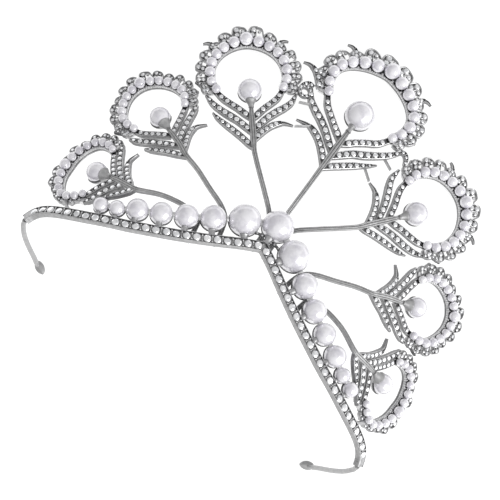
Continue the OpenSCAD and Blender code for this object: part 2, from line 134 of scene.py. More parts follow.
STEM = [
    [(0, -1.9, -1.8), (0, 0.4, -2.4), (0, 3.4, -5.4), (0, 8.0, -6.0), (0, 12.6, -4.4), (0, 18, -1.8), (0, 25, -0.3)],
    [(2.3, -2.8, -1.85), (2.3, -0.2, -2.3), (2.3, 3.4, -5.2), (2.6, 8.6, -5.9), (5.0, 11.8, -3.6), (10.0, 15.6, -1.2), (15.0, 19.8, -0.2)],
    [(12.5, -8.8, -1.8), (12.7, -6.2, -2.1), (13.4, -2.2, -3.6), (14.9, 1.6, -3.4), (18.2, 3.8, -1.9), (24.2, 6.0, -0.6), (30.0, 8.4, 0.6)],
    [(19.6, -12.6, -1.8), (19.8, -10.0, -2.1), (20.3, -6.6, -3.3), (21.6, -3.4, -3.3), (26.6, -2.8, -2.5), (31.0, -4.0, -0.4), (35.0, -5.5, 0.9)]
]
SILVER, DARK, MID, MATT_SHADE, SHADE, STONE = 0, 1, 2, 3, 4, 0

# ---------------------------------------------------------------- small maths
V = lambda *a: np.array(a, float)


def unit(v):
    v = np.asarray(v, float)
    return v / max(np.linalg.norm(v), 1e-12)


def turn(axis, deg):
    a = math.radians(deg)
    c, s = math.cos(a), math.sin(a)
    m = np.eye(4)
    i, j = {"x": (1, 2), "y": (2, 0), "z": (0, 1)}[axis]
    m[i, i] = m[j, j] = c
    m[i, j], m[j, i] = -s, s
    return m


def shift(v):
    m = np.eye(4)
    m[:3, 3] = v
    return m


def basis(x, y, z, at):
    m = np.eye(4)
    m[:3, 0], m[:3, 1], m[:3, 2], m[:3, 3] = x, y, z, at
    return m


def scaling(x, y=None, z=None):
    return np.diag([x, x if y is None else y, x if z is None else z, 1.0])


PLACE = scaling(0.001) @ shift((0, REST_Y, REST_Z)) @ turn("x", -REST_TILT)
FLAT = scaling(0.001)
MIRROR = scaling(-1, 1, 1)
side_of = lambda m: MIRROR if m < 0 else np.eye(4)
ARC = FRONT_R * math.radians(FRONT_A)


def ang(s):
    q = abs(s)
    a = math.degrees(q / FRONT_R) if q < ARC else FRONT_A + math.degrees((q - ARC) / SIDE_R)
    return math.copysign(a, s)


def out(s):
    a = math.radians(ang(s))
    return V(math.sin(a), 0, math.cos(a))


def on(s, y, w):
    q, t, a = abs(s), math.radians(abs(ang(s))), math.radians(FRONT_A)
    if q < ARC:
        x, z = FRONT_R * math.sin(t), FRONT_R * (math.cos(t) - 1)
    else:
        x = FRONT_R * math.sin(a) + SIDE_R * (math.sin(t) - math.sin(a))
        z = FRONT_R * (math.cos(a) - 1) + SIDE_R * (math.cos(t) - math.cos(a))
    return V(math.copysign(x, s), y, z) + w * out(s)


def head_matrix(r, m):
    h = HEAD[r]
    return side_of(m) @ shift(on(h[0], h[1], h[7])) @ turn("y", h[2]) @ turn("z", -h[3])


def full(r):
    left = [(-RING[r][i][0], RING[r][i][1], SMALL[r][i]) for i in range(8)]
    return left + [(-q[0], q[1], q[2]) for q in left[6::-1]]


def barb(r, k, j, c):
    """Barb j (low, mid, inner) of row r on side k, as rows of (across, along, width)."""
    p = BARBS[r][1 if k > 0 else 0][j]
    n = len(p)
    w = WIDTH[j]
    return [(k * q[0], q[1], c * float(np.interp(i / (n - 1), [t[0] for t in w], [t[1] for t in w]))) for i, q in enumerate(p)]


def spine(r, v):
    return float(np.interp(-v, [q[0] for q in SPINE[r]], [q[1] for q in SPINE[r]]))


def rise(d):
    return math.sqrt(d * d / 4 - (0.3 * d) ** 2) + 0.06


def smooth(p, step):
    """Catmull-Rom through rows of numbers, resampled about every step along the first three columns."""
    p = np.asarray(p, float)
    g = np.vstack([2 * p[0] - p[1], p, 2 * p[-1] - p[-2]])
    res = []
    for i in range(1, len(g) - 2):
        n = max(1, int(math.ceil(np.linalg.norm((g[i + 1] - g[i])[:2]) / step)))
        for k in range(n):
            t = k / n
            a, b, c, d = g[i - 1], g[i], g[i + 1], g[i + 2]
            res.append(0.5 * (2 * b + (c - a) * t + (2 * a - 5 * b + 4 * c - d) * t * t + (3 * b - a - 3 * c + d) * t ** 3))
    res.append(p[-1])
    return np.array(res)


def along(p, fractions):
    """Rows of p at fractions of its length, and the direction there."""
    d = np.linalg.norm(np.diff(p[:, :2], axis=0), axis=1)
    s = np.concatenate([[0], np.cumsum(d)])
    rows = []
    for f in fractions:
        at = f * s[-1]
        i = min(max(int(np.searchsorted(s, at)) - 1, 0), len(d) - 1)
        t = (at - s[i]) / max(d[i], 1e-9)
        rows.append((p[i] * (1 - t) + p[i + 1] * t, unit(p[i + 1] - p[i])))
    return rows, s[-1]


# ---------------------------------------------------------------- mesh building
class Shape:
    """Vertices and faces gathered in the row frame, in metres."""

    def __init__(self):
        self.v, self.f, self.m, self.s, self.n = [], [], [], [], 0
        self.M = PLACE

    def add(self, verts, faces, mats, flat=False, M=None):
        verts = np.asarray(verts, float)
        T = self.M if M is None else self.M @ M
        self.v.append(verts @ T[:3, :3].T + T[:3, 3])
        for k, f in enumerate(faces):
            self.f.append(tuple(self.n + i for i in f))
            self.m.append(mats if isinstance(mats, int) else mats[k])
            self.s.append(not flat)
        self.n += len(verts)

    def sweep(self, path, outs, section, scales, mats=SILVER, close=True, M=None):
        """Section of (side, out) points along a path; scales are (side, out) at each path point."""
        path = np.asarray(path, float)
        n, k = len(path), len(section)
        verts = []
        for i in range(n):
            t = unit(path[min(i + 1, n - 1)] - path[max(i - 1, 0)])
            b = unit(np.cross(outs[i], t))
            o = np.cross(t, b)
            for q in section:
                verts.append(path[i] + scales[i][0] * q[0] * b + scales[i][1] * q[1] * o)
        faces, fm = [], []
        for i in range(n - 1):
            for j in range(k):
                e = (j + 1) % k
                faces.append((i * k + j, i * k + e, (i + 1) * k + e, (i + 1) * k + j))
                fm.append(mats if isinstance(mats, int) else mats[j])
        if close:
            faces += [tuple(range(k))[::-1], tuple((n - 1) * k + j for j in range(k))]
            fm += [SILVER, SILVER]
        self.add(verts, faces, fm, M=M)

    def ribbon(self, rows, profile, mats, M=None, rise_to=None, tip=1.0):
        """A flat strip in the (x, y) plane: rows of (x, y, width), profile of (side -1..1, height)."""
        path = [V(q[0], q[1], 0) for q in rows]
        n = len(path)
        w = [max(q[2], 0.12) / 2 for q in rows]
        z = [1.0] * n if rise_to is None else rise_to
        self.sweep(path, [V(0, 0, 1)] * n, profile, [(w[i], z[i] * tip) for i in range(n)], mats, M=M)

    def lathe(self, profile, M, mats=SILVER, seg=20):
        """A closed ring of (radius, height) turned about z."""
        k = len(profile)
        verts = [(p[0] * math.cos(a), p[0] * math.sin(a), p[1])
                 for a in np.arange(seg) * 2 * math.pi / seg for p in profile]
        faces, fm = [], []
        for i in range(seg):
            e = (i + 1) % seg
            for j in range(k):
                g = (j + 1) % k
                faces.append((i * k + j, i * k + g, e * k + g, e * k + j))
                fm.append(mats if isinstance(mats, int) else mats[j])
        self.add(verts, faces, fm, M=M)

    def ball(self, M, seg=8, rings=5, mats=SILVER):
        v, f = ball_mesh(seg, rings)
        self.add(v, f, mats, M=M)

    def gem(self, M):
        v, f = GEM
        self.add(v, f, STONE, flat=True, M=M)

    def build(self, name, materials, sharp=38):
        me = bpy.data.meshes.new(name)
        me.from_pydata(np.vstack(self.v).tolist(), [], self.f)
        for m in materials:
            me.materials.append(m)
        me.polygons.foreach_set("material_index", self.m)
        me.polygons.foreach_set("use_smooth", self.s)
        bm = bmesh.new()
        bm.from_mesh(me)
        bmesh.ops.recalc_face_normals(bm, faces=bm.faces)
        bm.to_mesh(me)
        bm.free()
        if sharp:
            me.set_sharp_from_angle(angle=math.radians(sharp))
        me.validate()
        ob = bpy.data.objects.new(name, me)
        bpy.context.scene.collection.objects.link(ob)
        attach(ob, "root")
        return ob


_balls = {}


def ball_mesh(seg, rings):
    if (seg, rings) not in _balls:
        v = [(0, 0, 1)]
        for i in range(1, rings):
            t = math.pi * i / rings
            v += [(math.sin(t) * math.cos(2 * math.pi * j / seg), math.sin(t) * math.sin(2 * math.pi * j / seg), math.cos(t)) for j in range(seg)]
        v.append((0, 0, -1))
        f = [(0, 1 + j, 1 + (j + 1) % seg) for j in range(seg)]
        for i in range(rings - 2):
            a, b = 1 + i * seg, 1 + (i + 1) * seg
            f += [(a + j, b + j, b + (j + 1) % seg, a + (j + 1) % seg) for j in range(seg)]
        a = 1 + (rings - 2) * seg
        f += [(a + j, len(v) - 1, a + (j + 1) % seg) for j in range(seg)]
        _balls[(seg, rings)] = (np.array(v), f)
    return _balls[(seg, rings)]


def gem_mesh():
    """A round brilliant: radius 1, table up."""
    ring = lambda n, r, z, a0: [(r * math.cos(a0 + 2 * math.pi * j / n), r * math.sin(a0 + 2 * math.pi * j / n), z) for j in range(n)]
    h = math.pi / 8
    v = ring(8, 0.58, 0.34, 0) + ring(8, 0.83, 0.20, h) + ring(16, 1.0, 0.02, 0) + [(0, 0, -0.55)]
    f = [tuple(range(8))]
    for i in range(8):
        n, p = (i + 1) % 8, (i - 1) % 8
        f.append((i, 8 + i, n))
        f.append((i, 8 + p, 16 + 2 * i, 8 + i))
        f.append((8 + i, 16 + 2 * i, 17 + 2 * i))
        f.append((8 + i, 17 + 2 * i, 16 + (2 * i + 2) % 16))
    f += [(16 + j, 32, 16 + (j + 1) % 16) for j in range(16)]
    return np.array(v), f


GEM = gem_mesh()


def hash01(*k):
    x = math.sin(sum((i + 1) * 12.9898 * float(q) for i, q in enumerate(k)) + 4.1) * 43758.5453
    return x - math.floor(x)


# ---------------------------------------------------------------- the castings
# barbs: rounded rails on both sides of a darkened channel
BARB = [(-0.94, -0.8), (0.94, -0.8), (1, -0.62), (1, 0.60), (0.97, 0.80), (0.87, 0.88), (0.77, 0.80), (0.74, 0.60), (0.73, 0.22),
        (-0.73, 0.22), (-0.74, 0.60), (-0.77, 0.80), (-0.87, 0.88), (-0.97, 0.80), (-1, 0.60), (-1, -0.62)]
# the rail tops keep the plain silver, their shoulders take the darker copy and the outer walls and channel floor the
# shade copy: painted shade on the sides of the barb
BARB_M = [SHADE, SHADE, SHADE, MID, SILVER, MID, DARK, DARK, SHADE, DARK, DARK, MID, SILVER, MID, SHADE, SHADE]
# pointed tips: two edges with a fine groove between
TIP = [(-0.85, -0.7), (0.85, -0.7), (1, -0.4), (1, 0.55), (0.8, 0.82), (0.45, 0.78), (0.22, 0.42), (-0.22, 0.42), (-0.45, 0.78), (-0.8, 0.82), (-1, 0.55), (-1, -0.4)]
TIP_M = [SHADE, SHADE, SHADE, MID, SILVER, DARK, SHADE, DARK, SILVER, MID, SHADE, SHADE]
# plain rounded bars
ROUND = [(-0.8, -0.7), (0.8, -0.7), (1, -0.3), (1, 0.3), (0.7, 0.72), (0, 0.88), (-0.7, 0.72), (-1, 0.3), (-1, -0.3)]


# a raised wire along the front of a frond
FINE = [(-0.8, -0.3), (0.8, -0.3), (1, 0.05), (1, 0.55), (0.7, 0.88), (0, 1.02), (-0.7, 0.88), (-1, 0.55), (-1, 0.05)]


def set_stones(metal, gems, rows, first, last, pitch, size, M, seed):
    """Stones along a barb between two fractions of its length, with bars and beads between them."""
    q, total = along(rows, [0])
    n = max(1, int(round((last - first) * total / pitch)) + 1)
    fr = [first + (last - first) * k / max(n - 1, 1) for k in range(n)]
    got, _ = along(rows, fr)
    for k, (p, t) in enumerate(got):
        rad = min(size, 0.38 * p[2])
        tilt = turn("x", 18 * (hash01(seed, k) - 0.5)) @ turn("y", 18 * (hash01(seed, k, 2) - 0.5)) @ turn("z", 360 * hash01(seed, k, 3))
        gems.gem(M @ shift((p[0], p[1], 0.80)) @ tilt @ scaling(rad, rad, rad))
        # seat ring
        metal.lathe([(rad * 0.80, 0.30), (rad * 1.20, 0.30), (rad * 1.19, 0.84), (rad * 1.00, 0.86)], M @ shift((p[0], p[1], 0)), [DARK, MID, DARK, DARK], seg=14)
    for k in range(n - 1):
        (p, t), = along(rows, [(fr[k] + fr[k + 1]) / 2])[0]
        side = V(-t[1], t[0], 0)
        half = 0.74 * p[2] / 2
        a, b = V(p[0], p[1], 0.50) - side * half, V(p[0], p[1], 0.50) + side * half
        # the bars and beads take the darker copy of the silver: painted shade where the key light falls on them
        metal.sweep([a, b], [V(0, 0, 1)] * 2, [(-0.15, -0.3), (0.15, -0.3), (0.15, 0.10), (0, 0.20), (-0.15, 0.10)], [(1, 1)] * 2, MID, M=M)
        for e in (-0.36, 0.36):
            c = V(p[0], p[1], 0.86) + side * (half * 2 * e)
            metal.ball(M @ shift(c) @ scaling(0.27), 7, 5, MID)


def channel(metal, gems, pts, first, last, pitch, size, M, seed, tip=True):
    rows = smooth(pts, 0.6)
    n = len(rows)
    z = [1.0] * n
    if tip:
        # the last part narrows to a smooth point: the channel closes
        for i in range(n):
            f = (i / (n - 1) - last) / max(1 - last, 1e-6)
            if f > 0.25:
                z[i] = 1 - 0.35 * (f - 0.25)
    cut = max(3, int((last + (1 - last) * 0.35) * (n - 1)))
    if not tip or cut >= n - 2:
        metal.ribbon(rows, BARB, BARB_M, M=M, rise_to=z)
    else:
        metal.ribbon(rows[: cut + 1], BARB, BARB_M, M=M, rise_to=z[: cut + 1])
        metal.ribbon(rows[cut:], TIP, TIP_M, M=M, rise_to=z[cut:])
    set_stones(metal, gems, rows, first, last, pitch, size, M, seed)


REACH = [1.26, 1.36, 1.40, 1.36]
LOW_VIEW = unit((0, -math.sin(math.radians(26)), math.cos(math.radians(26))))


def hide(r, d):
    """How far a raised pearl reaches over a frond that points along d, seen from below and in front."""
    H = head_matrix(r, 1)[:3, :3]
    n, e = H[:, 2], H[:, :2] @ d
    n, e = n - LOW_VIEW * (n @ LOW_VIEW), e - LOW_VIEW * (e @ LOW_VIEW)
    return float(n @ unit(e))


def fringe(metal, gems, r, i, m, M):
    """One curled frond of the fringe, between two small pearls: a stone-set body and a fine arc over to the next one."""
    p = full(r)
    a, b = V(*p[i]), V(*p[i + 1])
    c = (a[:2] + b[:2]) / 2
    d = unit(c - V(0, RING[r][7][1] * 0.3))
    k = 1 if c[0] > 0 else -1
    e = V(d[1], -d[0])
    big = (a[2] + b[2]) / 2
    pitch = np.linalg.norm((b - a)[:2])
    low = r == 3 and i > 8
    # the pearls hide more of the fronds on the side that leans away from below
    l = big * REACH[r] * (0.78 if low else 1)
    l += (1.7, 1.3, 1.5, 1.9)[r] * hide(r, d)
    # the tips stay within the size of the whole tiara
    for _ in range(30):
        tip = (PLACE @ M @ V(*(c + d * (l * 1.07 + 0.30)), 0.8, 1))[:3]
        if abs(tip[0]) < cad_box[1][0] - 0.0003 and tip[1] < cad_box[1][1] - 0.0002:
            break
        l *= 0.97
    if (i in (4, 9)) and not low:
        f = big / 3.6 * (1 if r < 2 else 0.6)
        pts = [(*(c + (q[1] * d + q[0] * e * k) * f), q[2] * big / 3.6) for q in HOOK]
        channel(metal, gems, pts, 0.22, 0.52, 1.45 * big / 3.6, 0.19 * big, M, 70 + i)
        # a shorter frond stands behind the hook
        M = M @ shift((0, 0, -0.35))
        l *= 0.86
    v = lambda n, amount: amount * (hash01(r, i, n) - 0.5)
    # every frond curls clockwise, whichever half of the tiara it is on
    at = lambda x, y: c + d * l * y + e * m * pitch * x
    tall = l > 1.18 * big
    body = smooth([(*at(-0.02, 0.05), 0.55 * big), (*at(-0.08, 0.40), 0.66 * big), (*at(-0.05 + v(1, 0.06), 0.74), 0.62 * big), (*at(0.02, 0.98), 0.36 * big)], 0.35)
    metal.ribbon(body, BARB, BARB_M, M=M)
    top = 1.03 + v(2, 0.06)
    arc = smooth([(*at(-0.30, 0.28), 0.09 * big), (*at(-0.39, 0.60), 0.12 * big), (*at(-0.26, 0.93), 0.14 * big), (*at(0.06, top), 0.16 * big),
                  (*at(0.40 + v(3, 0.10), 0.97 + v(7, 0.08)), 0.15 * big), (*at(0.66, 0.84 + v(4, 0.14)), 0.14 * big), (*at(0.80, 0.60), 0.12 * big), (*at(0.82, 0.36), 0.08 * big)], 0.3)
    metal.ribbon(arc, FINE, MID, M=M)
    if tall:
        seat(metal, gems, at(-0.06, 0.52), 0.180 * big, M, (i, 1))
        seat(metal, gems, at(0.02 + v(5, 0.10), 0.85), 0.195 * big, M, (i, 2))
    else:
        seat(metal, gems, at(-0.02 + v(5, 0.08), 0.72), 0.20 * big, M, (i, 2))
    q = at(0.47, 0.72 + v(6, 0.1))
    if i % 3:
        seat(metal, gems, q, 0.14 * big, M, (i, 3))
    else:
        metal.ball(M @ shift((q[0], q[1], 0.6)) @ scaling(0.15 * big), 8, 5)


def seat(metal, gems, q, rad, M, seed):
    """A stone in its own round bezel."""
    tilt = turn("z", 360 * hash01(*seed)) @ turn("x", 16 * (hash01(*seed, 2) - 0.5))
    gems.gem(M @ shift((q[0], q[1], 0.80)) @ tilt @ scaling(rad))
    metal.lathe([(rad * 0.5, -0.5), (rad * 1.30, -0.5), (rad * 1.34, 0.80), (rad * 1.20, 0.92), (rad * 1.04, 0.86), (rad * 1.0, 0.5), (rad * 0.5, 0.4)],
                M @ shift((q[0], q[1], 0)), [MID, MID, SILVER, MID, DARK, DARK, DARK], seg=14)


def offset(rows, by):
    """Rows moved sideways by a distance for each row."""
    n = len(rows)
    res = []
    for i in range(n):
        t = unit(rows[min(i + 1, n - 1)][:2] - rows[max(i - 1, 0)][:2])
        res.append((rows[i][0] - t[1] * by[i], rows[i][1] + t[0] * by[i]))
    return np.array(res)


def eye_loop(metal, r, M):
    p = full(r)
    rows = smooth(p, 0.5)
    d = rows[:, 2]
    n = len(rows)
    plate = [(-1, -0.8), (1, -0.8), (1, 0.15), (0.8, 0.3), (-0.8, 0.3), (-1, 0.15)]
    metal.ribbon(np.column_stack([rows[:, :2], d * 0.86]), plate, [MID, MID, DARK, DARK, DARK, MID], M=M)
    inner = offset(rows, -(0.40 * d))
    metal.ribbon(np.column_stack([inner, np.full(n, 0.62)]),
                 [(-1, -0.8), (1, -0.8), (1, -0.35), (0.8, -0.2), (1, -0.05), (1, 0.7), (0.6, 0.9), (-0.6, 0.9), (-1, 0.7), (-1, -0.05), (-0.8, -0.2), (-1, -0.35)],
                 [MID, MID, DARK, DARK, MID, SILVER, SILVER, SILVER, MID, DARK, DARK, MID], M=M)
    outer = offset(rows, 0.40 * d)
    metal.ribbon(np.column_stack([outer, np.full(n, 0.55)]),
                 [(-1, -0.8), (1, -0.8), (1, 0.4), (0, 0.62), (-1, 0.4)], MID, M=M)
    # milgrain along the eye
    got, total = along(np.column_stack([inner, d]), [0])
    count = int(total / 0.78)
    got, _ = along(np.column_stack([offset(rows, -(0.40 * d + 0.12)), d]), [(k + 0.5) / count for k in range(count)])
    for q, t in got:
        metal.ball(M @ shift((q[0], q[1], 0.62)) @ scaling(0.40, 0.40, 0.46), 7, 4)
        metal.ball(M @ shift((q[0] - 0.14 * t[1], q[1] + 0.14 * t[0], -0.42)) @ scaling(0.26), 6, 4)
    # a cup under each pearl, and beads between neighbours
    for i, q in enumerate(p):
        s = 0.3 * q[2]
        metal.lathe([(s * 0.7, 0.1), (s * 1.5, 0.1), (s * 1.45, 0.8 + 0.06 * q[2]), (s * 1.2, 0.8)], M @ shift((q[0], q[1], 0)), DARK, seg=16)
    for i in range(14):
        a, b = V(*p[i]), V(*p[i + 1])
        c = (a + b) / 2
        t = unit((b - a)[:2])
        for e in (-1, 1):
            g = c[:2] + V(-t[1], t[0]) * e * 0.30 * c[2]
            metal.ball(M @ shift((g[0], g[1], 0.9)) @ scaling(0.12 * c[2], 0.12 * c[2], 0.16 * c[2]), 7, 5)


STEM_P = [(-0.8, -1), (0.8, -1), (1, -0.5), (1, 0.3), (0.86, 0.78), (0.66, 0.9), (0.46, 0.82), (0.38, 0.50), (0.30, 0.82), (0.1, 0.96), (-0.1, 0.96),
          (-0.30, 0.82), (-0.38, 0.50), (-0.46, 0.82), (-0.66, 0.9), (-0.86, 0.78), (-1, 0.3), (-1, -0.5)]
# the stem takes the matt darker copy of the silver: painted shade over its faces, with dark oxide in its two grooves
STEM_M = [MATT_SHADE] * 6 + [DARK, MATT_SHADE] + [MATT_SHADE] * 3 + [MATT_SHADE, DARK] + [MATT_SHADE] * 5


def stem(metal, r, m):
    h = HEAD[r]
    rd, b = h[4] / 2, h[6]
    H = head_matrix(r, 1)
    pts, outs, width, thick = [], [], [], []
    for q in STEM[r]:
        pts.append(on(*q))
        outs.append(out(q[0]))
        width.append(0.78)
        thick.append(0.6)
    c = (1 + h[5]) / 2
    for v, w, hw, th in ((-24.5 * b, 0.0, 0.82, 0.66), (-20.5 * b, 0.35, 1.0, 0.75), (-17 * b, 0.55, 1.10 * c, 0.8), (-12.5 * b, 0.6, 1.12 * c, 0.8),
                         (-9 * b, 0.6, 0.86 * c, 0.72), (-rd - 1.6, 0.75, 0.72 * c, 0.62), (-rd - 0.5, 0.9, 0.66 * c, 0.55)):
        pts.append((H @ V(spine(r, v), v, w, 1))[:3])
        outs.append(H[:3, 2])
        width.append(hw)
        thick.append(th)
    rows = smooth(np.column_stack([pts, outs, width, thick]), 0.9)
    metal.sweep(rows[:, :3], rows[:, 3:6], STEM_P, rows[:, 6:8], STEM_M, M=side_of(m))
    # a shallow dish behind the drop pearl, and the small foot that meets the stem
    dish(metal, side_of(m) @ H @ shift((0, 0, 1)), rd, (0.30, 0.28, 0.20, 0.15)[r])
    lean = math.degrees(math.atan2(spine(r, -rd - 4), rd + 4))
    cup = side_of(m) @ H @ shift((0, 0, 1)) @ turn("z", lean) @ turn("x", 90)
    rim, bell = (13, 24, 34, 36)[r], (0.55, 1.0, 1.35, 1.4)[r]
    f = lambda deg, gap: ((rd + gap) * math.sin(math.radians(deg)), (rd + gap) * math.cos(math.radians(deg)))
    prof = [f(4, 0.02), f(rim * 0.5, 0.02), f(rim * 0.8, 0.02), f(rim, 0.02), f(rim + 1.5, 0.20), f(rim - 1, 0.44), (0.36 * rd * bell, rd + 0.35), (0.27 * rd * bell, rd + 1.15), (0.80 * c, rd + 2.3), (0.2, rd + 2.4)]
    # the outside of the cup and its collar take the matt darker copy of the silver: painted shade
    metal.lathe(prof, cup, [DARK, DARK, DARK, DARK, MATT_SHADE, MATT_SHADE, MATT_SHADE, MATT_SHADE, MATT_SHADE, MATT_SHADE], seg=28)
    # a beaded collar where the cup meets the stem
    metal.lathe([(0.5 * c, rd + 2.05), (0.90 * c, rd + 2.05), (0.98 * c, rd + 2.25), (0.90 * c, rd + 2.45), (0.5 * c, rd + 2.45)], cup, MATT_SHADE, seg=16)


def dish(metal, M, rad, edge):
    """A thin shell on the back of a ball, its edge at -edge x rad."""
    f = lambda deg, gap: ((rad + gap) * math.sin(math.radians(deg)), -(rad + gap) * math.cos(math.radians(deg)))
    top = 90 - math.degrees(math.asin(edge))
    stops = [8, top * 0.35, top * 0.7, top * 0.9, top]
    prof = [f(q, 0.03) for q in stops] + [f(q, g) for q, g in zip(stops[::-1], (0.10, 0.34, 0.40, 0.44, 0.44))]
    metal.lathe(prof, M, [DARK] * 6 + [MID] * 4, seg=32)


def feather(r, m, k):
    h = HEAD[r]
    a, b = h[5], h[6]
    c = (1 + a) / 2
    metal, gems = Shape(), Shape()
    M = head_matrix(r, m)
    e = RING[r][0]
    size = 0.92 * (0.35 + 0.65 * c)
    pitch = 2.45 * (0.25 + 0.75 * c)
    for s in (-1, 1):
        channel(metal, gems, barb(r, s, 0, c), 0.16, 0.64 if s < 0 else 0.86, pitch * 0.86, size * 0.86, M, 10 * k + s)
        channel(metal, gems, barb(r, s, 1, c), 0.13, 0.90, pitch, size, M, 20 * k + s)
        inner = barb(r, s, 2, c) + [(e[0] * s * 0.985, e[1] - 0.3, 1.8 * c)]
        channel(metal, gems, inner, 0.18, 0.84, pitch, size, M, 30 * k + s, tip=False)
        metal.ribbon(smooth([(s * e[0], e[1], 1.4), (s * (e[0] + 1.4 * c), e[1] - 0.4, 1.5), (s * (e[0] + 2.8 * c), e[1] - 0.5, 1.6)], 0.5), ROUND, SILVER, M=M)
        if r == 0 and s < 0:
            channel(metal, gems, [(s * q[0], q[1], q[2]) for q in PLUME], 0.14, 0.58, 2.0, 0.72, M, 40 * k)
        elif r < 3 or s < 0:
            pl = [(s * (e[0] + (q[0] - 12.4) * c * 0.9), e[1] + q[1] * c, q[2] * c * (1 - 0.2 * i)) for i, q in enumerate(PLUME[:4])]
            channel(metal, gems, pl, 0.18, 0.74, 1.75 * c, 0.68 * c, M, 50 * k + s)
        if r == 0:
            channel(metal, gems, [(q[0] * s, q[1], q[2]) for q in LINK], 0.16, 0.84, 1.6, 0.5, M, 60 * k + s)
            if s < 0:
                # the ring that the middle feather shares with its left neighbour
                at = M @ shift((-18.3, -4.3, 0))
                metal.lathe([(1.15, -0.8), (2.25, -0.8), (2.3, 0.5), (2.15, 0.82), (2.0, 0.82), (1.95, 0.3), (1.5, 0.3), (1.45, 0.82), (1.3, 0.82), (1.12, 0.5)],
                            at, [SHADE, SHADE, MID, SILVER, DARK, SHADE, DARK, SILVER, MID, SHADE], seg=32)
                for g in range(8):
                    seat(metal, gems, (-18.3 + 1.72 * math.cos(g * math.pi / 4), -4.3 + 1.72 * math.sin(g * math.pi / 4)), 0.36, M, (k, g))
            for w in THREAD:
                # the threads take the matt darker copy of the silver: painted shade
                metal.ribbon(smooth([(q[0] * s, q[1], q[2] * 0.7) for q in w], 0.6), ROUND, MATT_SHADE, M=M)
    eye_loop(metal, r, M)
    for i in range(14):
        fringe(metal, gems, r, i, m, M)
    stem(metal, r, m)
    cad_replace(metal.build(f"feather_{k}_casting", [silver, dark, mid, matt_shade, shade]), f"feather_{k}")
    gems.build(f"feather_{k}_stones", [crystal], sharp=0)


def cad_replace(ob, *nodes):
    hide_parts(*nodes)
    return ob


# ---------------------------------------------------------------- band
def band_y(s):
    x = [q[0] for q in BAND]
    return float(np.interp(abs(s), x, [q[1] for q in BAND]))


